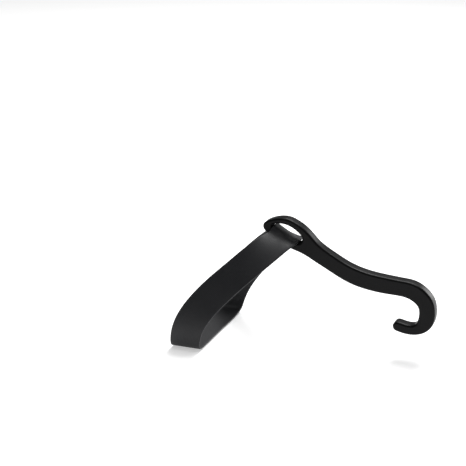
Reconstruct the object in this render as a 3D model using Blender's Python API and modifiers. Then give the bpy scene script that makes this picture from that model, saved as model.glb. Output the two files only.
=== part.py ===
"""Hammer toe straightener: one moulded bar and one elastic foot strap.

The bar lies in the XZ plane. Its rear end is an eyelet that rests on the instep, its shaft runs
forward and down over the toes, and its front end hooks round the tip of one toe. The strap is a
closed loop round the midfoot that passes through the eyelet, over its lower bar.

Metres, +X forward to the toes, +Y to the inner side of the foot, +Z up. The origin is the point
under the eyelet that sits on the instep.
"""

import math

import bmesh
import bpy
import numpy as np

# Moulded bar
BAR_THICKNESS = 0.0080
BAR_EDGE_RADIUS = 0.0013
SHAFT_RUN = 0.0716
SHAFT_FALL = 0.0270
SHAFT_WIDTH = 0.0102
HOOK_REACH = 0.0155
HOOK_HEIGHT = 0.0253
HOOK_WIDTH = 0.0098
ARM_LENGTH = 0.0100
ARM_WIDTH = 0.0060

# Eyelet at the rear end of the bar. Its rear droops toward the foot. A fullness of 1 is an
# ellipse, and less is more pointed toward the ends. The slot is an arch over a flat floor, which
# is a little steeper than the eyelet.
EYELET_TILT = math.radians(22)
EYELET_WALL = 0.0040
EYELET_FOOT_WALL = 0.00485
EYELET_TIP_WALL = 0.0050
EYELET_DROOP = 0.0026
EYELET_TOP_FULLNESS = 0.66
EYELET_FOOT_FULLNESS = 0.90
EYELET_NECK_WIDTH = 0.0160
SLOT_ARCH = 0.00385
SLOT_DEPTH = 0.0034
SLOT_SIDE_PLAY = 0.0013
SLOT_TOP_FULLNESS = 0.78
SLOT_FLOOR_SQUARENESS = 4.0
SLOT_FLOOR_SLANT = math.radians(5.8)

# Elastic strap
STRAP_WIDTH = 0.0190
STRAP_THICKNESS = 0.0012
STRAP_GATHERED_WIDTH = 0.0182
STRAP_SHIFT = 0.0007
FOOT_HEIGHT = 0.0613
FOOT_OUTER_WIDTH = 0.0430
FOOT_INNER_WIDTH = 0.0340
STRAP_SETBACK = 0.0485

CLEARANCE = 0.0003

# Rows along the bar's middle line, from the eyelet to the start of the hook. Run and fall are
# shares of SHAFT_RUN and SHAFT_FALL. Width is a share of SHAFT_WIDTH, and neck adds a share of
# what EYELET_NECK_WIDTH has over it.
SHAFT_ROWS = (
    # name, run, fall, width, neck
    ("neck", 0.072, 0.109, 1.00, 1.00),
    ("shoulder", 0.147, 0.223, 1.00, 0.59),
    ("slope top", 0.213, 0.342, 1.00, 0.17),
    ("slope", 0.279, 0.453, 1.00, 0.02),
    ("slope foot", 0.376, 0.595, 0.98, 0.00),
    ("lower bend", 0.485, 0.748, 0.98, 0.00),
    ("run in", 0.608, 0.874, 1.01, 0.00),
    ("level", 0.733, 0.944, 1.01, 0.00),
    ("level end", 0.883, 0.982, 0.99, 0.00),
)

# Rows round the toe. Reach and height are shares of HOOK_REACH and HOOK_HEIGHT, and taper goes
# from HOOK_WIDTH at 0 to ARM_WIDTH at 1.
HOOK_ROWS = (
    # name, reach, height, taper
    ("crown", 0.000, 0.000, 0.00),
    ("crown end", 0.350, 0.036, -0.10),
    ("front top", 0.632, 0.123, -0.08),
    ("front", 0.908, 0.300, 0.00),
    ("tip", 1.000, 0.550, 0.08),
    ("tip foot", 0.955, 0.747, 0.14),
    ("under tip", 0.855, 0.862, 0.42),
    ("under toe", 0.655, 0.962, 0.84),
    ("arm start", 0.330, 1.000, 1.00),
)

# Rows where the strap lies on the foot, from the eyelet outward, under the sole and up the inner
# side. Back, side and drop are shares of STRAP_SETBACK, of FOOT_OUTER_WIDTH or FOOT_INNER_WIDTH,
# and of FOOT_HEIGHT. Lean is the slope by which the strap faces forward, and cup is how much of
# the slot's curve is left across it.
OUTER_ROWS = (
    # name, back, side, drop, lean, cup
    ("outer instep", 0.044, 0.281, -0.021, 0.30, 0.62),
    ("outer slope", 0.395, 0.660, 0.213, -0.02, 0.00),
    ("outer side", 0.695, 0.845, 0.455, 0.00, 0.00),
    ("outer edge", 0.985, 0.975, 0.895, 0.00, 0.00),
    ("outer corner", 0.998, 0.925, 0.973, 0.00, 0.00),
    ("outer sole", 1.000, 0.767, 1.000, 0.00, 0.00),
)
INNER_ROWS = (
    # name, back, side, drop, lean, cup
    ("inner instep", 0.044, 0.330, -0.021, 0.30, 0.62),
    ("inner slope", 0.395, 0.735, 0.240, -0.02, 0.00),
    ("inner side", 0.690, 0.940, 0.490, 0.00, 0.00),
    ("inner edge", 0.975, 0.985, 0.880, 0.00, 0.00),
    ("inner corner", 0.996, 0.915, 0.968, 0.00, 0.00),
    ("inner sole", 1.000, 0.720, 1.000, 0.00, 0.00),
)

SPAN_POINTS = 4
TIP_POINTS = 8
EYELET_POINTS = 22
SLOT_POINTS = 56
EDGE_RESOLUTION = 2
STRAP_STATIONS = 128
STRAP_CELLS = 8
BEND_STEPS = 3
TURN_SPACING = 0.018
STRAP_BEND = math.radians(30)

TILT_ALONG = np.array((math.cos(EYELET_TILT), 0.0, -math.sin(EYELET_TILT)))
TILT_UP = np.array((math.sin(EYELET_TILT), 0.0, math.cos(EYELET_TILT)))
SLOT_LENGTH = STRAP_GATHERED_WIDTH + 2 * SLOT_SIDE_PLAY
SLOT_CENTRE = TILT_UP * (EYELET_FOOT_WALL + SLOT_DEPTH)
FLOOR_TILT = EYELET_TILT + SLOT_FLOOR_SLANT
FLOOR_ALONG = np.array((math.cos(FLOOR_TILT), 0.0, -math.sin(FLOOR_TILT)))
FLOOR_UP = np.array((math.sin(FLOOR_TILT), 0.0, math.cos(FLOOR_TILT)))


def clear_scene():
    for old in list(bpy.data.objects):
        bpy.data.objects.remove(old, do_unlink=True)


def new_collection(name):
    collection = bpy.data.collections.new(name)
    bpy.context.scene.collection.children.link(collection)
    return collection


def plain_material(name, colour, roughness):
    material = bpy.data.materials.new(name)
    material.use_nodes = True
    shader = material.node_tree.nodes["Principled BSDF"]
    shader.inputs["Base Color"].default_value = (*colour, 1.0)
    shader.inputs["Roughness"].default_value = roughness
    shader.inputs["Metallic"].default_value = 0.0
    return material


def smooth_through(rows, per_span, closed=False):
    """A cubic spline through the rows, with its first three columns as x, y and z."""
    rows = np.asarray(rows, float)
    ahead = np.roll(rows, -1, axis=0) if closed else rows[1:]
    here = rows if closed else rows[:-1]
    gap = np.linalg.norm((ahead - here)[:, :3], axis=1)
    slope = (ahead - here) / gap[:, None]
    count = len(rows)
    system = np.eye(count)
    change = np.zeros_like(rows)
    for row in range(0 if closed else 1, count if closed else count - 1):
        system[row] = 0.0
        system[row, row - 1] = gap[row - 1]
        system[row, row] = 2 * (gap[row - 1] + gap[row])
        system[row, (row + 1) % count] = gap[row]
        change[row] = 6 * (slope[row] - slope[row - 1])
    bend = np.linalg.solve(system, change)
    points = []
    for row, length in enumerate(gap):
        following = (row + 1) % count
        for t in np.linspace(0.0, 1.0, per_span, endpoint=False):
            u = 1 - t
            sag = (u**3 - u) * bend[row] + (t**3 - t) * bend[following]
            points.append(u * rows[row] + t * rows[following] + length**2 / 6 * sag)
    if not closed:
        points.append(rows[-1])
    return np.array(points)


def bar_rows():
    """Middle line of the bar as rows of x, y, z and half width, from the slot's centre to the arm's end."""
    eyelet_height = EYELET_WALL + SLOT_ARCH + SLOT_DEPTH + EYELET_FOOT_WALL
    rows = [(*(TILT_UP * eyelet_height / 2), eyelet_height / 2)]
    for _, run, fall, width, neck in SHAFT_ROWS:
        across = width * SHAFT_WIDTH + neck * (EYELET_NECK_WIDTH - SHAFT_WIDTH)
        place = SLOT_CENTRE + np.array((run * SHAFT_RUN, 0.0, -fall * SHAFT_FALL))
        rows.append((*place, across / 2))
    crown = SLOT_CENTRE + np.array((SHAFT_RUN, 0.0, -SHAFT_FALL))
    for _, reach, height, taper in HOOK_ROWS:
        across = HOOK_WIDTH + taper * (ARM_WIDTH - HOOK_WIDTH)
        place = crown + np.array((reach * HOOK_REACH, 0.0, -height * HOOK_HEIGHT))
        rows.append((*place, across / 2))
    arm_end = rows[-1][0] - ARM_LENGTH + ARM_WIDTH / 2
    arm_rise = 0.12 * ARM_LENGTH
    rows.append((arm_end, 0.0, rows[-1][2] + arm_rise, ARM_WIDTH / 2))
    return rows


def eyelet_droop(along):
    return EYELET_DROOP * (np.minimum(along, 0.0) / (SLOT_LENGTH / 2 + EYELET_TIP_WALL)) ** 2


def arch(turn, height, fullness):
    share = np.sin(turn)
    return height * share * (fullness + (1 - fullness) * share**2)


def from_slot(along, up):
    """Points in the bar's plane, as x and z, from their places along and up from the slot's centre."""
    place = SLOT_CENTRE + np.outer(along, TILT_ALONG) + np.outer(up, TILT_UP)
    return place[:, [0, 2]]


def eyelet_rear(turn):
    """Outline of the eyelet's rear, as along and up from the slot's centre."""
    along = (SLOT_LENGTH / 2 + EYELET_TIP_WALL) * np.cos(turn)
    top = arch(turn, SLOT_ARCH + EYELET_WALL, EYELET_TOP_FULLNESS)
    foot = arch(turn, SLOT_DEPTH + EYELET_FOOT_WALL, EYELET_FOOT_FULLNESS)
    return along, np.where(turn < math.pi, top, foot) - eyelet_droop(along)


def slot_loop(turn):
    """Outline of the slot, as along and up from its centre: arch for turns above 0, floor below."""
    share = np.cos(turn)
    along = SLOT_LENGTH / 2 * share
    drooped = -eyelet_droop(along)
    floor = -SLOT_DEPTH - along * math.tan(SLOT_FLOOR_SLANT)
    full = (1 - np.abs(share) ** SLOT_FLOOR_SQUARENESS) ** (1 / SLOT_FLOOR_SQUARENESS)
    top = drooped + arch(turn, SLOT_ARCH, SLOT_TOP_FULLNESS)
    return along, np.where(turn > 0, top, drooped + (floor - drooped) * full)


def bar_outline():
    """Closed outline: lower edge forward, round end of the arm, upper edge back, rear of the eyelet."""
    line = smooth_through(bar_rows(), SPAN_POINTS)
    middle, half = line[:, [0, 2]], line[:, 3:4]
    ahead = np.gradient(middle, axis=0)
    ahead[0] = TILT_ALONG[[0, 2]]
    ahead /= np.linalg.norm(ahead, axis=1)[:, None]
    left = np.stack((-ahead[:, 1], ahead[:, 0]), axis=1)
    lower, upper = middle - left * half, middle + left * half
    turn = np.linspace(-math.pi / 2, math.pi / 2, TIP_POINTS + 2)[1:-1, None]
    tip = middle[-1] + half[-1] * (np.cos(turn) * ahead[-1] + np.sin(turn) * left[-1])
    turn = np.linspace(math.pi / 2, 3 * math.pi / 2, EYELET_POINTS + 2)[1:-1]
    rear = from_slot(*eyelet_rear(turn))
    return np.vstack((lower, tip, upper[::-1], rear))


def slot_outline():
    return from_slot(*slot_loop(np.linspace(-math.pi, math.pi, SLOT_POINTS, endpoint=False)))


def flat_curve(name, outlines, thickness, edge_radius):
    """A filled 2D curve that stands in the XZ plane, extruded to both sides of it, with round edges."""
    data = bpy.data.curves.new(name, "CURVE")
    data.dimensions = "2D"
    data.fill_mode = "BOTH"
    data.extrude = thickness / 2 - edge_radius
    data.bevel_depth = edge_radius
    data.bevel_resolution = EDGE_RESOLUTION
    data.offset = -edge_radius
    for outline in outlines:
        spline = data.splines.new("POLY")
        spline.points.add(len(outline) - 1)
        spline.use_cyclic_u = True
        for point, (across, up) in zip(spline.points, outline):
            point.co = (across, up, 0.0, 1.0)
    curve = bpy.data.objects.new(name, data)
    curve.rotation_euler = (math.pi / 2, 0.0, 0.0)
    bpy.context.scene.collection.objects.link(curve)
    return curve


def mesh_from_curve(curve, collection):
    """The curve as a mesh object with its caps welded on."""
    bpy.context.view_layer.update()
    graph = bpy.context.evaluated_depsgraph_get()
    mesh = bpy.data.meshes.new_from_object(curve.evaluated_get(graph))
    shell = bmesh.new()
    shell.from_mesh(mesh)
    bmesh.ops.remove_doubles(shell, verts=shell.verts, dist=0.00001)
    shell.to_mesh(mesh)
    shell.free()
    name = curve.name
    curve.name = name + "_outline"
    solid = bpy.data.objects.new(name, mesh)
    solid.matrix_world = curve.matrix_world
    collection.objects.link(solid)
    bpy.data.objects.remove(curve, do_unlink=True)
    return solid


def make_toe_hook(collection):
    outlines = (bar_outline(), slot_outline()[::-1])
    curve = flat_curve("toe_hook", outlines, BAR_THICKNESS, BAR_EDGE_RADIUS)
    hook = mesh_from_curve(curve, collection)
    hook.data.shade_smooth()
    hook.data.set_sharp_from_angle(angle=math.radians(50))
    hook.data.materials.append(plain_material("black_moulded_plastic", (0.012, 0.012, 0.013), 0.36))
    return hook


def slot_floor(across):
    """Where the strap's section lies in the slot: along and above the floor from the slot's centre.

    It follows the slot's floor at a clearance plus half its own thickness, and across is the
    length measured along it from its middle.
    """
    turn = np.linspace(-math.pi, 0.0, 801)[20:-20]
    edge = from_slot(*slot_loop(turn)) - SLOT_CENTRE[[0, 2]]
    edge = np.stack((edge @ FLOOR_ALONG[[0, 2]], edge @ FLOOR_UP[[0, 2]]), axis=1)
    way = np.gradient(edge, axis=0)
    inward = np.stack((-way[:, 1], way[:, 0]), axis=1)
    inward /= np.linalg.norm(inward, axis=1)[:, None]
    floor = edge + (CLEARANCE + STRAP_THICKNESS / 2) * inward
    travel = np.insert(np.cumsum(np.linalg.norm(np.diff(floor, axis=0), axis=1)), 0, 0.0)
    travel -= np.interp(-STRAP_SHIFT, floor[:, 0], travel)
    return np.interp(across, travel, floor[:, 0]), np.interp(across, travel, floor[:, 1])


def strap_rows():
    """Middle line of the strap as rows of x, y, z, lean and cup, once round from the slot."""
    lift = CLEARANCE + STRAP_THICKNESS / 2
    bend = BAR_EDGE_RADIUS + lift
    flat = BAR_THICKNESS / 2 - BAR_EDGE_RADIUS + 2 * CLEARANCE
    along, up = slot_floor(np.zeros(1))
    floor = SLOT_CENTRE + FLOOR_ALONG * along + FLOOR_UP * up
    sides = []
    for side, width, table in ((-1, FOOT_OUTER_WIDTH, OUTER_ROWS), (1, FOOT_INNER_WIDTH, INNER_ROWS)):
        rows = []
        for angle in np.linspace(0.0, STRAP_BEND, BEND_STEPS):
            place = floor - FLOOR_UP * bend * (1 - math.cos(angle))
            place[1] = side * (flat + bend * math.sin(angle))
            rows.append((*place, math.tan(FLOOR_TILT) * math.cos(angle), 1.0))
        for _, back, out, drop, lean, cup in table:
            rows.append((-back * STRAP_SETBACK, side * out * width, -drop * FOOT_HEIGHT, lean, cup))
        sides.append(rows)
    crest = [(*floor, math.tan(FLOOR_TILT), 1.0)]
    sole = [(-STRAP_SETBACK, 0.0, -FOOT_HEIGHT, 0.0, 0.0)]
    return np.array(crest + sides[0] + sole + sides[1][::-1])


def strap_surface():
    """Grid of points of the strap's middle surface, stations round the foot by cells across it.

    Stations are evenly spaced by length, with each radian of turning counted as TURN_SPACING more.
    The strap faces straight out of its loop as seen along X, with its lean added.
    """
    rows = smooth_through(strap_rows(), 12, closed=True)
    step = np.roll(rows[:, :3], -1, axis=0) - rows[:, :3]
    length = np.linalg.norm(step, axis=1)
    way = step / length[:, None]
    turn = np.arccos(np.clip((way * np.roll(way, 1, axis=0)).sum(axis=1), -1.0, 1.0))
    turn = (turn + np.roll(turn, -1)) / 2
    travel = np.insert(np.cumsum(length + turn * TURN_SPACING), 0, 0.0)
    wrapped = np.vstack((rows, rows[:1]))
    stations = np.linspace(0.0, travel[-1], STRAP_STATIONS, endpoint=False)
    rows = np.stack([np.interp(stations, travel, column) for column in wrapped.T], axis=1)
    place, lean, cup = rows[:, :3], rows[:, 3], rows[:, 4:5]
    ahead = np.roll(place, -1, axis=0) - np.roll(place, 1, axis=0)
    ahead /= np.linalg.norm(ahead, axis=1)[:, None]
    face = np.stack((lean, ahead[:, 2], -ahead[:, 1]), axis=1)
    wide = np.cross(face, ahead)
    wide /= np.linalg.norm(wide, axis=1)[:, None]
    face = np.cross(ahead, wide)
    share = np.linspace(-0.5, 0.5, STRAP_CELLS + 1)
    along, up = slot_floor(share * STRAP_GATHERED_WIDTH)
    rise = up - slot_floor(np.zeros(1))[1]
    reach = (1 - cup) * share * STRAP_WIDTH + cup * (along - slot_floor(np.zeros(1))[0])
    return (
        place[:, None, :]
        + reach[:, :, None] * wide[:, None, :]
        + (cup * rise)[:, :, None] * face[:, None, :]
    )


def make_foot_strap(collection):
    grid = strap_surface()
    stations, across, _ = grid.shape
    faces = []
    for row in range(stations):
        here, there = row * across, (row + 1) % stations * across
        for cell in range(across - 1):
            faces.append((here + cell, here + cell + 1, there + cell + 1, there + cell))
    mesh = bpy.data.meshes.new("foot_strap")
    mesh.from_pydata(grid.reshape(-1, 3).tolist(), [], faces)
    mesh.update()
    strap = bpy.data.objects.new("foot_strap", mesh)
    collection.objects.link(strap)
    wall = strap.modifiers.new("elastic wall", "SOLIDIFY")
    wall.thickness = STRAP_THICKNESS
    wall.offset = 0.0
    mesh.shade_smooth()
    mesh.materials.append(plain_material("black_elastic", (0.016, 0.016, 0.018), 0.8))
    return strap


clear_scene()
parts = new_collection("toe_straightener")
make_toe_hook(parts)
make_foot_strap(parts)
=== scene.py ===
"""Hammer toe straightener: a moulded bar with an eyelet and a hook, and a loop of elastic strap.

Metres, +X forward to the hook, +Y to the strap's narrower side, +Z up. The origin is the point
under the middle of the eyelet's lower wall.
"""

import math

import bmesh
import bpy
import numpy as np
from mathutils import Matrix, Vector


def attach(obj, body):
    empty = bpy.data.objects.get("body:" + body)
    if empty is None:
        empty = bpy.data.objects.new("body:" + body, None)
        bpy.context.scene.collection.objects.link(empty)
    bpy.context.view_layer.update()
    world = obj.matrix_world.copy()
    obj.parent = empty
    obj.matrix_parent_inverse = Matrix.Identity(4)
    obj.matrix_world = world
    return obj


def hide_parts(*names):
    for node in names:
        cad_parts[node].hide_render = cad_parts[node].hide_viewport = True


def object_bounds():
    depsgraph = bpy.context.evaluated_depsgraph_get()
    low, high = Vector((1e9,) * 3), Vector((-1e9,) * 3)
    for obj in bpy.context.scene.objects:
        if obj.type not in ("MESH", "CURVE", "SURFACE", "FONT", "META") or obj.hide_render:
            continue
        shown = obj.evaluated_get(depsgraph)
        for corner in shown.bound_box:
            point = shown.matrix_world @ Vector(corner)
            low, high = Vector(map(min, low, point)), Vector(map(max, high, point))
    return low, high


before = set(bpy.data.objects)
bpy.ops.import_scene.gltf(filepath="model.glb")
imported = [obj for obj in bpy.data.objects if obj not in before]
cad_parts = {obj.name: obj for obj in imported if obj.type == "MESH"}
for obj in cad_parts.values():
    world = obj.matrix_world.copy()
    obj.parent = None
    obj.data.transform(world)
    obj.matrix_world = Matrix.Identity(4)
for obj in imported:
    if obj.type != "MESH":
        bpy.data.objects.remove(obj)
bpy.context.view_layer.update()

# The view. The photograph looks down at the strap's wider side, a little from the front, with a
# long lens from about three quarters of a metre.
VIEW_TURN = math.radians(21)
VIEW_HEIGHT = math.radians(18)
VIEW_DISTANCE = 0.750
IMAGE_SIDE = 466
FOCAL_PIXELS = 1250
AIM_POINT = np.array((0.00295, -0.0040, 0.00741))
AIM_PIXEL = (286.5, 232.5)

back = np.array(
    (
        math.sin(VIEW_TURN) * math.cos(VIEW_HEIGHT),
        -math.cos(VIEW_TURN) * math.cos(VIEW_HEIGHT),
        math.sin(VIEW_HEIGHT),
    )
)
right = np.array((math.cos(VIEW_TURN), math.sin(VIEW_TURN), 0.0))
up = np.cross(back, right)
aside = (AIM_PIXEL[0] - IMAGE_SIDE / 2) / FOCAL_PIXELS * VIEW_DISTANCE
above = (IMAGE_SIDE / 2 - AIM_PIXEL[1]) / FOCAL_PIXELS * VIEW_DISTANCE
eye = AIM_POINT - aside * right - above * up + VIEW_DISTANCE * back

camera = bpy.data.objects.new("camera", bpy.data.cameras.new("camera"))
camera.data.sensor_width = 36.0
camera.data.lens = 36.0 * FOCAL_PIXELS / IMAGE_SIDE
camera.data.clip_start = 0.01
camera.data.clip_end = 50.0
turned = np.eye(4)
turned[:3, :3] = np.stack((right, up, back), axis=1)
turned[:3, 3] = eye
camera.matrix_world = turned.T.tolist()
bpy.context.scene.collection.objects.link(camera)
bpy.context.scene.camera = camera

# Moulded bar. One piece of black ABS, injection moulded flat: a leaf-shaped eyelet for the strap,
# a shaft that bends down and levels out, and a hook with a short lip. All its edges are rounded
# in the mould.
BAR_THICKNESS = 0.0080
BAR_EDGE_RADIUS = 0.0013
SHAFT_RUN = 0.0716
SHAFT_FALL = 0.0270
SHAFT_WIDTH = 0.0102
HOOK_REACH = 0.0155
HOOK_HEIGHT = 0.0253
HOOK_WIDTH = 0.0098
ARM_LENGTH = 0.0100
ARM_WIDTH = 0.0060
ARM_RISE = 0.12
EYELET_TILT = math.radians(22)
EYELET_WALL = 0.0040
EYELET_LOWER_WALL = 0.00485
EYELET_TIP_WALL = 0.0050
EYELET_DROOP = 0.0026
EYELET_UPPER_FULLNESS = 0.66
EYELET_LOWER_FULLNESS = 0.90
EYELET_NECK_WIDTH = 0.0160
SLOT_ARCH = 0.00385
SLOT_DEPTH = 0.0034
SLOT_LENGTH = 0.0208
SLOT_TOP_FULLNESS = 0.78
SLOT_FLOOR_SQUARENESS = 4.0
SLOT_FLOOR_SLANT = math.radians(5.8)
OUTLINE_STEP = 0.0004
OUTLINE_EASINGS = 6
EDGE_STEPS = 7
FACE_MARGIN = 1.2

# Run and fall are shares of SHAFT_RUN and SHAFT_FALL. Width is a share of SHAFT_WIDTH, and neck is
# the share of the neck's extra width.
SHAFT_ROWS = (
    # name, run, fall, width, neck
    ("neck", 0.072, 0.109, 1.00, 1.00),
    ("shoulder", 0.147, 0.223, 1.00, 0.59),
    ("slope top", 0.213, 0.342, 1.00, 0.17),
    ("slope", 0.279, 0.453, 1.00, 0.02),
    ("slope end", 0.376, 0.595, 0.98, 0.00),
    ("lower bend", 0.485, 0.748, 0.98, 0.00),
    ("run in", 0.608, 0.874, 1.01, 0.00),
    ("level", 0.733, 0.944, 1.01, 0.00),
    ("level end", 0.883, 0.982, 0.99, 0.00),
)
# Reach and height are shares of HOOK_REACH and HOOK_HEIGHT. Taper goes from HOOK_WIDTH at 0 to
# ARM_WIDTH at 1.
HOOK_ROWS = (
    # name, reach, height, taper
    ("crown", 0.000, 0.000, 0.00),
    ("crown end", 0.350, 0.036, -0.10),
    ("front top", 0.632, 0.123, -0.08),
    ("front", 0.908, 0.300, 0.00),
    ("tip", 1.000, 0.550, 0.08),
    ("below tip", 0.955, 0.747, 0.14),
    ("under tip", 0.855, 0.862, 0.42),
    ("under pocket", 0.655, 0.962, 0.84),
    ("arm start", 0.330, 1.000, 1.00),
)

TILT_ALONG = np.array((math.cos(EYELET_TILT), -math.sin(EYELET_TILT)))
TILT_UP = np.array((math.sin(EYELET_TILT), math.cos(EYELET_TILT)))
SLOT_CENTRE = TILT_UP * (EYELET_LOWER_WALL + SLOT_DEPTH)


def spline_through(rows, per_span, closed=False, places=3):
    """A natural cubic spline through the rows, over the distance between their first columns.

    In each span a row is the straight mix u*first + t*last, plus the length squared over 6 times
    (u^3 - u) and (t^3 - t) of the bends at its two ends, which make the slopes meet.
    """
    rows = np.asarray(rows, float)
    count = len(rows)
    ahead = np.roll(rows, -1, axis=0) if closed else rows[1:]
    here = rows if closed else rows[:-1]
    gap = np.linalg.norm((ahead - here)[:, :places], axis=1)
    slope = (ahead - here) / gap[:, None]
    system = np.eye(count)
    change = np.zeros_like(rows)
    for row in range(0 if closed else 1, count if closed else count - 1):
        system[row] = 0.0
        system[row, row - 1] = gap[row - 1]
        system[row, row] = 2 * (gap[row - 1] + gap[row])
        system[row, (row + 1) % count] = gap[row]
        change[row] = 6 * (slope[row] - slope[row - 1])
    bend = np.linalg.solve(system, change)
    t = np.linspace(0.0, 1.0, per_span, endpoint=False)[None, :, None]
    u = 1 - t
    bend_after = np.roll(bend, -1, axis=0)[: len(gap), None]
    sag = (u**3 - u) * bend[: len(gap), None] + (t**3 - t) * bend_after
    points = u * here[:, None] + t * ahead[:, None] + gap[:, None, None] ** 2 / 6 * sag
    points = points.reshape(-1, rows.shape[1])
    return points if closed else np.vstack((points, rows[-1:]))


def eyelet_droop(along):
    """How far the eyelet's rear hangs below its long axis: the square of the way to the rear."""
    return EYELET_DROOP * (np.minimum(along, 0.0) / (SLOT_LENGTH / 2 + EYELET_TIP_WALL)) ** 2


def arch(turn, height, fullness):
    """Height times sin(turn) times (fullness + (1 - fullness) sin^2): 1 is an ellipse."""
    share = np.sin(turn)
    return height * share * (fullness + (1 - fullness) * share**2)


def from_slot(along, up):
    """A point that far along and above the slot's centre, in the eyelet's tilted axes."""
    return SLOT_CENTRE + np.outer(along, TILT_ALONG) + np.outer(up, TILT_UP)


def eyelet_rear(turn):
    """Rear outline of the eyelet: cosine of the turn along, the upper or lower arch up, drooped."""
    along = (SLOT_LENGTH / 2 + EYELET_TIP_WALL) * np.cos(turn)
    top = arch(turn, SLOT_ARCH + EYELET_WALL, EYELET_UPPER_FULLNESS)
    low = arch(turn, SLOT_DEPTH + EYELET_LOWER_WALL, EYELET_LOWER_FULLNESS)
    return from_slot(along, np.where(turn < math.pi, top, low) - eyelet_droop(along))


def slot_loop(turn):
    """Outline of the slot: an arch for turns above 0, and below it a flat floor.

    The floor's share of the depth is the fourth root of 1 - c^4, with c the cosine of the turn, so
    it is full over most of the length and falls away in round corners.
    """
    share = np.cos(turn)
    along = SLOT_LENGTH / 2 * share
    drooped = -eyelet_droop(along)
    floor = -SLOT_DEPTH - along * math.tan(SLOT_FLOOR_SLANT)
    full = (1 - np.abs(share) ** SLOT_FLOOR_SQUARENESS) ** (1 / SLOT_FLOOR_SQUARENESS)
    top = drooped + arch(turn, SLOT_ARCH, SLOT_TOP_FULLNESS)
    return from_slot(along, np.where(turn > 0, top, drooped + (floor - drooped) * full))


def bar_rows():
    """Middle line of the bar as rows of x, z and half width, from the eyelet to the arm's end.

    Each row is a share of the shaft's or the hook's extents, added to where that part begins.
    """
    eyelet_height = EYELET_WALL + SLOT_ARCH + SLOT_DEPTH + EYELET_LOWER_WALL
    rows = [(*(TILT_UP * eyelet_height / 2), eyelet_height / 2)]
    for _, run, fall, width, neck in SHAFT_ROWS:
        across = width * SHAFT_WIDTH + neck * (EYELET_NECK_WIDTH - SHAFT_WIDTH)
        rows.append((*(SLOT_CENTRE + (run * SHAFT_RUN, -fall * SHAFT_FALL)), across / 2))
    crown = SLOT_CENTRE + (SHAFT_RUN, -SHAFT_FALL)
    for _, reach, height, taper in HOOK_ROWS:
        across = HOOK_WIDTH + taper * (ARM_WIDTH - HOOK_WIDTH)
        rows.append((*(crown + (reach * HOOK_REACH, -height * HOOK_HEIGHT)), across / 2))
    arm_end = rows[-1][0] - ARM_LENGTH + ARM_WIDTH / 2
    rows.append((arm_end, rows[-1][1] + ARM_RISE * ARM_LENGTH, ARM_WIDTH / 2))
    return rows


def evenly(loop, step):
    """The closed loop resampled at even steps along its length, then eased over its neighbours."""
    closed = np.vstack((loop, loop[:1]))
    travel = np.insert(np.cumsum(np.linalg.norm(np.diff(closed, axis=0), axis=1)), 0, 0.0)
    places = np.linspace(0.0, travel[-1], int(travel[-1] / step), endpoint=False)
    even = np.stack([np.interp(places, travel, column) for column in closed.T], axis=1)
    for _ in range(OUTLINE_EASINGS):
        even = even / 2 + (np.roll(even, 1, axis=0) + np.roll(even, -1, axis=0)) / 4
    return even


def bar_outline():
    """Closed outline: lower edge forward, arm's round end, upper edge back, eyelet's rear.

    Each edge is the middle line moved half a width to its side, at right angles to its way.
    """
    line = spline_through(bar_rows(), 16, places=2)
    middle, half = line[:, :2], line[:, 2:]
    ahead = np.gradient(middle, axis=0)
    ahead[0] = TILT_ALONG
    ahead /= np.linalg.norm(ahead, axis=1)[:, None]
    left = np.stack((-ahead[:, 1], ahead[:, 0]), axis=1)
    lower, upper = middle - left * half, middle + left * half
    turn = np.linspace(-math.pi / 2, math.pi / 2, 34)[1:-1, None]
    tip = middle[-1] + half[-1] * (np.cos(turn) * ahead[-1] + np.sin(turn) * left[-1])
    turn = np.linspace(math.pi / 2, 3 * math.pi / 2, 122)[1:-1]
    return evenly(np.vstack((lower, tip, upper[::-1], eyelet_rear(turn))), OUTLINE_STEP)


def rim_surface(outline):
    """Grid of points of the rim: round the outline by across the thickness.

    Across, the inset and the height run round a quarter circle of the edge radius at each side,
    with one more row a little way in on each flat face.
    """
    quarter = np.linspace(0.0, math.pi / 2, EDGE_STEPS)
    inset = BAR_EDGE_RADIUS * (1 - np.sin(quarter))
    height = BAR_THICKNESS / 2 - BAR_EDGE_RADIUS * (1 - np.cos(quarter))
    inset = np.concatenate(([BAR_EDGE_RADIUS * FACE_MARGIN], inset))
    height = np.concatenate(([BAR_THICKNESS / 2], height))
    inset = np.concatenate((inset, inset[::-1]))
    height = np.concatenate((-height, height[::-1]))
    way = np.roll(outline, -1, axis=0) - np.roll(outline, 1, axis=0)
    way /= np.linalg.norm(way, axis=1)[:, None]
    inward = np.stack((-way[:, 1], way[:, 0]), axis=1)
    place = outline[:, None] + inset[None, :, None] * inward[:, None]
    across = np.broadcast_to(height[None, :, None], place[:, :, :1].shape)
    return np.concatenate((place[:, :, :1], across, place[:, :, 1:]), axis=2)


def grid_faces(rounds, columns, first=0, close=False):
    """Quads of a grid of rounds by columns: each point with the next ones round and across.

    The grid closes along its rounds, and along its columns where asked.
    """
    row = np.arange(rounds)[:, None]
    column = np.arange(columns if close else columns - 1)[None, :]
    here, there = row * columns, (row + 1) % rounds * columns
    beside = (column + 1) % columns
    corners = (here + column, here + beside, there + beside, there + column)
    return first + np.stack(np.broadcast_arrays(*corners), axis=-1).reshape(-1, 4)


def mesh_of(name, points, faces):
    """A mesh object at the origin, from points in metres and faces as rows of point numbers."""
    mesh = bpy.data.meshes.new(name)
    mesh.from_pydata(points.reshape(-1, 3).tolist(), [], faces.tolist())
    mesh.update()
    piece = bpy.data.objects.new(name, mesh)
    bpy.context.scene.collection.objects.link(piece)
    return piece


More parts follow.
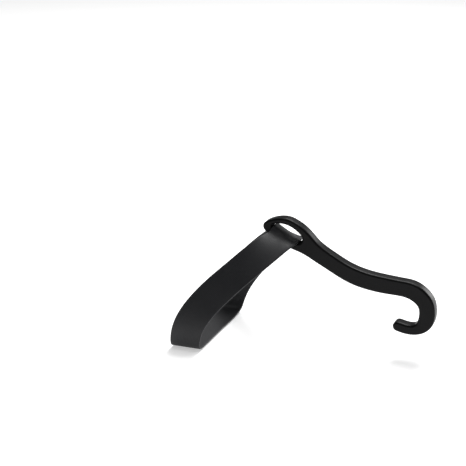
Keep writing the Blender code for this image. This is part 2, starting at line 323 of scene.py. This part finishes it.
rim = rim_surface(bar_outline())
slot_turn = np.linspace(-math.pi, math.pi, 400, endpoint=False)
slot = rim_surface(evenly(slot_loop(slot_turn)[::-1], OUTLINE_STEP))
rounds, columns = rim.shape[:2]
faces = np.vstack((grid_faces(rounds, columns), grid_faces(len(slot), columns, rounds * columns)))
bar = mesh_of("toe_bar", np.vstack((rim.reshape(-1, 3), slot.reshape(-1, 3))), faces)
shell = bmesh.new()
shell.from_mesh(bar.data)
for side in (-1, 1):
    rims = [e for e in shell.edges if e.is_boundary and e.verts[0].co.y * side > 0]
    bmesh.ops.triangle_fill(shell, use_beauty=True, use_dissolve=False, edges=rims)
bmesh.ops.recalc_face_normals(shell, faces=shell.faces)
shell.to_mesh(bar.data)
shell.free()
bar.data.shade_smooth()


def linear(hex_colour):
    """sRGB hex to linear: c/12.92 up to 0.04045, ((c + 0.055)/1.055)^2.4 above it."""
    parts = [int(hex_colour[i : i + 2], 16) / 255 for i in (1, 3, 5)]
    straight = [c / 12.92 if c <= 0.04045 else ((c + 0.055) / 1.055) ** 2.4 for c in parts]
    return (*straight, 1.0)


def add_node(material, kind, settings=None, links=None):
    """Adds a node, sets its properties or input values by name, and links its inputs."""
    node = material.node_tree.nodes.new(kind)
    for key, value in (settings or {}).items():
        if isinstance(key, str) and hasattr(node, key):
            setattr(node, key, value)
        else:
            node.inputs[key].default_value = value
    for key, source in (links or {}).items():
        material.node_tree.links.new(source, node.inputs[key])
    return node


def new_material(name):
    """A material with its Principled shader."""
    material = bpy.data.materials.new(name)
    material.use_nodes = True
    return material, material.node_tree.nodes["Principled BSDF"]


# Satin black ABS, as from a spark-eroded mould: a fine grain breaks the gloss softly, and the
# gloss wanders a little over 12 mm patches. Such a grain is usually nearer 0.1 mm, and is drawn at
# 0.3 mm so that it can show.
GRAIN_SIZE = 0.0003
GRAIN_DEPTH = 0.00002
PATCH_SIZE = 0.012
abs_black, shader = new_material("moulded_black_abs")
where = add_node(abs_black, "ShaderNodeTexCoord").outputs["Object"]
grain = add_node(
    abs_black, "ShaderNodeTexNoise", {"Scale": 1 / GRAIN_SIZE, "Detail": 2.0}, {"Vector": where}
)
patches = add_node(
    abs_black, "ShaderNodeTexNoise", {"Scale": 1 / PATCH_SIZE, "Detail": 3.0}, {"Vector": where}
)
gloss = add_node(
    abs_black,
    "ShaderNodeMapRange",
    {"From Min": 0.3, "From Max": 0.7, "To Min": 0.34, "To Max": 0.42},
    {"Value": patches.outputs["Fac"]},
)
eroded = add_node(
    abs_black,
    "ShaderNodeBump",
    {"Strength": 0.25, "Distance": GRAIN_DEPTH},
    {"Height": grain.outputs["Fac"]},
)
shader.inputs["Base Color"].default_value = linear("#040405")
shader.inputs["IOR"].default_value = 1.5
shader.inputs["Specular IOR Level"].default_value = 0.14
abs_black.node_tree.links.new(gloss.outputs["Result"], shader.inputs["Roughness"])
abs_black.node_tree.links.new(eroded.outputs["Normal"], shader.inputs["Normal"])
bar.data.materials.append(abs_black)
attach(bar, "root")
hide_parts("toe_hook")

# Elastic strap. A band of black woven elastic, joined end to end, that runs through the eyelet
# over its lower wall, down both sides and flat across the bottom. It is worn stretched open, and
# the slot gathers it a little narrower.
STRAP_WIDTH = 0.0190
STRAP_THICKNESS = 0.0012
STRAP_GATHERED_WIDTH = 0.0182
STRAP_SHIFT = -0.0002
STRAP_CROWN = 0.0007
LOOP_HEIGHT = 0.0613
LOOP_OUTER_WIDTH = 0.0430
LOOP_INNER_WIDTH = 0.0340
STRAP_SETBACK = 0.0485
STRAP_CLEARANCE = 0.0003
STRAP_BEND = math.radians(30)
TURN_SPACING = 0.010
STRAP_STATIONS = 640
STRAP_CELLS = 40
EDGE_POINTS = 7

# Back, side and drop are shares of STRAP_SETBACK, of LOOP_OUTER_WIDTH or LOOP_INNER_WIDTH, and of
# LOOP_HEIGHT. Lean is the slope by which the strap faces forward, and cup is how much of the
# slot's curve is left across it.
OUTER_ROWS = (
    # name, back, side, drop, lean, cup
    ("outer shoulder", 0.040, 0.292, -0.032, 0.25, 0.89),
    ("outer slope", 0.409, 0.672, 0.223, -0.03, 0.00),
    ("outer side", 0.725, 0.844, 0.482, 0.00, 0.00),
    ("outer edge", 0.990, 0.961, 0.898, 0.00, 0.00),
    ("outer corner", 0.998, 0.925, 0.973, 0.00, 0.00),
    ("outer bottom", 1.000, 0.767, 1.000, 0.00, 0.00),
)
INNER_ROWS = (
    # name, back, side, drop, lean, cup
    ("inner shoulder", 0.040, 0.365, -0.018, 0.26, 0.89),
    ("inner slope", 0.415, 0.765, 0.235, -0.03, 0.00),
    ("inner side", 0.720, 0.940, 0.500, 0.00, 0.00),
    ("inner edge", 0.975, 0.985, 0.880, 0.00, 0.00),
    ("inner corner", 0.996, 0.915, 0.968, 0.00, 0.00),
    ("inner bottom", 1.000, 0.720, 1.000, 0.00, 0.00),
)

FLOOR_TILT = EYELET_TILT + SLOT_FLOOR_SLANT
FLOOR_ALONG = np.array((math.cos(FLOOR_TILT), -math.sin(FLOOR_TILT)))
FLOOR_UP = np.array((math.sin(FLOOR_TILT), math.cos(FLOOR_TILT)))


def slot_floor(across):
    """Where the strap's section lies on the slot's floor: along and above it from the centre.

    That is the floor's outline moved inward by the gap and half a strap, read by its own length.
    """
    edge = slot_loop(np.linspace(-math.pi, 0.0, 801)[20:-20]) - SLOT_CENTRE
    edge = np.stack((edge @ FLOOR_ALONG, edge @ FLOOR_UP), axis=1)
    way = np.gradient(edge, axis=0)
    inward = np.stack((-way[:, 1], way[:, 0]), axis=1)
    inward /= np.linalg.norm(inward, axis=1)[:, None]
    floor = edge + (STRAP_CLEARANCE + STRAP_THICKNESS / 2) * inward
    travel = np.insert(np.cumsum(np.linalg.norm(np.diff(floor, axis=0), axis=1)), 0, 0.0)
    travel -= np.interp(-STRAP_SHIFT, floor[:, 0], travel)
    return np.interp(across, travel, floor[:, 0]), np.interp(across, travel, floor[:, 1])


def strap_rows():
    """Middle line of the strap as rows of x, y, z, lean and cup, once round from the slot.

    It goes over the lower wall's rounded edge on an arc, by the cosine and sine of the bend, and on
    through rows that are shares of the loop's width, height and setback.
    """
    lift = STRAP_CLEARANCE + STRAP_THICKNESS / 2
    bend = BAR_EDGE_RADIUS + lift
    flat = BAR_THICKNESS / 2 - BAR_EDGE_RADIUS + 2 * STRAP_CLEARANCE
    along, above = slot_floor(np.zeros(1))
    low = SLOT_CENTRE + FLOOR_ALONG * along + FLOOR_UP * above
    floor = np.array((low[0], 0.0, low[1]))
    floor_up = np.array((FLOOR_UP[0], 0.0, FLOOR_UP[1]))
    sides = []
    halves = ((-1, LOOP_OUTER_WIDTH, OUTER_ROWS), (1, LOOP_INNER_WIDTH, INNER_ROWS))
    for side, width, table in halves:
        rows = []
        for angle in (STRAP_BEND / 2, STRAP_BEND):
            place = floor - floor_up * bend * (1 - math.cos(angle))
            place[1] = side * (flat + bend * math.sin(angle))
            rows.append((*place, math.tan(FLOOR_TILT) * math.cos(angle), 1.0))
        for _, backward, out, drop, lean, cup in table:
            place = (-backward * STRAP_SETBACK, side * out * width, -drop * LOOP_HEIGHT)
            rows.append((*place, lean, cup))
        sides.append(rows)
    crest = [(*(floor + floor_up * STRAP_CROWN), math.tan(FLOOR_TILT), 1.0)]
    bottom = [(-STRAP_SETBACK, 0.0, -LOOP_HEIGHT, 0.0, 0.0)]
    return np.array(crest + sides[0] + bottom + sides[1][::-1])


def unit(vectors):
    """Each vector over its own length."""
    return vectors / np.linalg.norm(vectors, axis=-1, keepdims=True)


def strap_middle():
    """Middle surface of the strap: stations round the loop by places across it.

    Stations are evenly spaced by length, with each radian of turning counted as TURN_SPACING more.
    A place is the station's point plus the reach across and, near the slot, the rise of the slot's
    floor there. Also gives the way ahead, the loop's length and each station's distance.
    """
    rows = spline_through(strap_rows(), 60, closed=True)
    step = np.roll(rows[:, :3], -1, axis=0) - rows[:, :3]
    length = np.linalg.norm(step, axis=1)
    way = step / length[:, None]
    turn = np.arccos(np.clip((way * np.roll(way, 1, axis=0)).sum(axis=1), -1.0, 1.0))
    turn = (turn + np.roll(turn, -1)) / 2
    travel = np.insert(np.cumsum(length + turn * TURN_SPACING), 0, 0.0)
    stations = np.linspace(0.0, travel[-1], STRAP_STATIONS, endpoint=False)
    wrapped = np.vstack((rows, rows[:1]))
    real = np.insert(np.cumsum(length), 0, 0.0)
    distance = np.interp(stations, travel, real)
    rows = np.stack([np.interp(stations, travel, column) for column in wrapped.T], axis=1)
    place, lean, cup = rows[:, :3], rows[:, 3], rows[:, 4:5]
    ahead = unit(np.roll(place, -1, axis=0) - np.roll(place, 1, axis=0))
    wide = unit(np.cross(np.stack((lean, ahead[:, 2], -ahead[:, 1]), axis=1), ahead))
    face = np.cross(ahead, wide)
    share = np.linspace(-0.5, 0.5, STRAP_CELLS + 1)
    along, rise = slot_floor(share * STRAP_GATHERED_WIDTH)
    middle_along, middle_rise = slot_floor(np.zeros(1))
    reach = (1 - cup) * share * STRAP_WIDTH + cup * (along - middle_along)
    rise = cup * (rise - middle_rise)
    middle = place[:, None] + reach[..., None] * wide[:, None] + rise[..., None] * face[:, None]
    return middle, ahead, real[-1], distance


def strap_section(middle, ahead):
    """Outer surface of the strap: stations by places round its section, a flat oval.

    The faces lie half a thickness each side of the middle surface. Each edge is a half circle: its
    point plus the cosine of the turn outward and the sine of it along the face's normal.
    """
    across = unit(np.gradient(middle, axis=1))
    normal = unit(np.cross(np.broadcast_to(ahead[:, None], across.shape), across))
    half = STRAP_THICKNESS / 2
    turn = np.linspace(-math.pi / 2, math.pi / 2, EDGE_POINTS + 2)[1:-1][None, :, None]
    out, up = np.cos(turn) * half, np.sin(turn) * half
    lower = middle[:, 1:-1] - normal[:, 1:-1] * half
    upper = middle[:, 1:-1] + normal[:, 1:-1] * half
    front = middle[:, -2:-1] + out * across[:, -1:] + up * normal[:, -1:]
    rear = middle[:, 1:2] - out * across[:, :1] - up * normal[:, :1]
    return np.concatenate((lower, front, upper[:, ::-1], rear), axis=1)


middle, ahead, strap_length, distance = strap_middle()
section = strap_section(middle, ahead)
faces = grid_faces(*section.shape[:2], close=True)
strap = mesh_of("elastic_strap", section, faces)
strap.data.shade_smooth()

# The cloth's own map, in metres: round the section by along the strap.
ring = np.concatenate((section, section[:, :1]), axis=1)
girth = np.insert(np.cumsum(np.linalg.norm(np.diff(ring, axis=1), axis=2).mean(axis=0)), 0, 0.0)
length_at = np.append(distance, strap_length)
station, column = np.divmod(faces[:, 0], section.shape[1])
corners = (girth[column[:, None] + (0, 1, 1, 0)], length_at[station[:, None] + (0, 0, 1, 1)])
woven = np.stack(corners, axis=-1)
strap.data.uv_layers.new(name="woven").data.foreach_set("uv", woven.ravel())

# Flat woven elastic: fine ribs along the strap, each a row of small crossings, in dull black yarn
# that takes a soft grey bloom where light grazes it. The ribs are 0.9 mm apart and the crossings
# 0.7 mm, and the yarn's tension makes the dullness wander a little over 8 mm patches. A wave
# texture's bands are pi / (10 * scale) apart, which gives each scale.
RIB_SPACING = 0.0009
CROSSING_SPACING = 0.0007
CROSSING_SHARE = 0.35
WEAVE_DEPTH = 0.00012
TENSION_SIZE = 0.008
elastic, shader = new_material("woven_black_elastic")
where = add_node(elastic, "ShaderNodeUVMap", {"uv_map": "woven"}).outputs["UV"]
bands = {}
for direction, spacing in (("X", RIB_SPACING), ("Y", CROSSING_SPACING)):
    wave = {"bands_direction": direction, "Scale": math.pi / (10 * spacing)}
    wave.update({"Distortion": 0.4, "Detail": 1.0})
    band = add_node(elastic, "ShaderNodeTexWave", wave, {"Vector": where})
    bands[direction] = band.outputs["Fac"]
weave = add_node(
    elastic,
    "ShaderNodeMath",
    {"operation": "MULTIPLY_ADD", 1: CROSSING_SHARE},
    {0: bands["Y"], 2: bands["X"]},
).outputs["Value"]
tension = add_node(
    elastic, "ShaderNodeTexNoise", {"Scale": 1 / TENSION_SIZE, "Detail": 2.0}, {"Vector": where}
)
height = add_node(
    elastic,
    "ShaderNodeMapRange",
    {"From Min": 0.0, "From Max": 1.2, "To Min": 0.0, "To Max": 1.0},
    {"Value": weave},
)
yarn = add_node(
    elastic,
    "ShaderNodeMix",
    {"data_type": "RGBA", 6: linear("#0c0d10"), 7: linear("#191a1e")},
    {0: height.outputs["Result"]},
)
dull = add_node(
    elastic,
    "ShaderNodeMapRange",
    {"From Min": 0.3, "From Max": 0.7, "To Min": 0.46, "To Max": 0.54},
    {"Value": tension.outputs["Fac"]},
)
raised = add_node(
    elastic, "ShaderNodeBump", {"Strength": 0.35, "Distance": WEAVE_DEPTH}, {"Height": weave}
)
shader.inputs["IOR"].default_value = 1.5
shader.inputs["Specular IOR Level"].default_value = 0.36
shader.inputs["Sheen Weight"].default_value = 0.05
shader.inputs["Sheen Roughness"].default_value = 0.5
elastic.node_tree.links.new(yarn.outputs[2], shader.inputs["Base Color"])
elastic.node_tree.links.new(dull.outputs["Result"], shader.inputs["Roughness"])
elastic.node_tree.links.new(raised.outputs["Normal"], shader.inputs["Normal"])
strap.data.materials.append(elastic)
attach(strap, "root")
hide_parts("foot_strap")

# Studio. A white floor lit from below, as under a product shot, so that shadows stay pale and the
# backdrop is white. A low soft light behind draws the rims, one above it lights the strap's crest,
# and a wide one overhead and an even sky fill the rest.
FLOOR_REACH = 6.0
FLOOR_GAP = 0.0002
corners = np.array(((-1, -1, 0), (1, -1, 0), (1, 1, 0), (-1, 1, 0))) * FLOOR_REACH
corners[:, 2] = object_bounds()[0][2] - FLOOR_GAP
floor = mesh_of("floor", corners, np.array([[0, 1, 2, 3]]))
floor_paint, shader = new_material("backlit_white_floor")
shader.inputs["Base Color"].default_value = linear("#f4f4f4")
shader.inputs["Roughness"].default_value = 0.9
shader.inputs["Emission Color"].default_value = linear("#ffffff")
shader.inputs["Emission Strength"].default_value = 0.45
floor.data.materials.append(floor_paint)


def soft_light(name, turn, height, distance, size, power):
    """A square area light aimed at the origin: turned from +Y toward +X, raised and moved away."""
    light = bpy.data.lights.new(name, "AREA")
    light.shape = "SQUARE"
    light.size = size
    light.energy = power
    lamp = bpy.data.objects.new(name, light)
    level = math.cos(height)
    away = np.array((math.sin(turn) * level, math.cos(turn) * level, math.sin(height)))
    side = np.array((-math.cos(turn), math.sin(turn), 0.0))
    place = np.eye(4)
    place[:3, :3] = np.stack((side, np.cross(away, side), away), axis=1)
    place[:3, 3] = away * distance
    lamp.matrix_world = place.T.tolist()
    bpy.context.scene.collection.objects.link(lamp)


soft_light("rim_softbox", math.radians(32), math.radians(12), 1.2, 0.5, 5.4)
soft_light("back_softbox", math.radians(8), math.radians(58), 1.4, 0.7, 18.0)
soft_light("top_softbox", math.radians(0), math.radians(84), 1.6, 1.4, 8.0)
world = bpy.data.worlds.new("studio")
world.use_nodes = True
world.node_tree.nodes["Background"].inputs["Color"].default_value = (1.0, 1.0, 1.0, 1.0)
world.node_tree.nodes["Background"].inputs["Strength"].default_value = 0.2
bpy.context.scene.world = world
bpy.context.scene.view_settings.view_transform = "Standard"
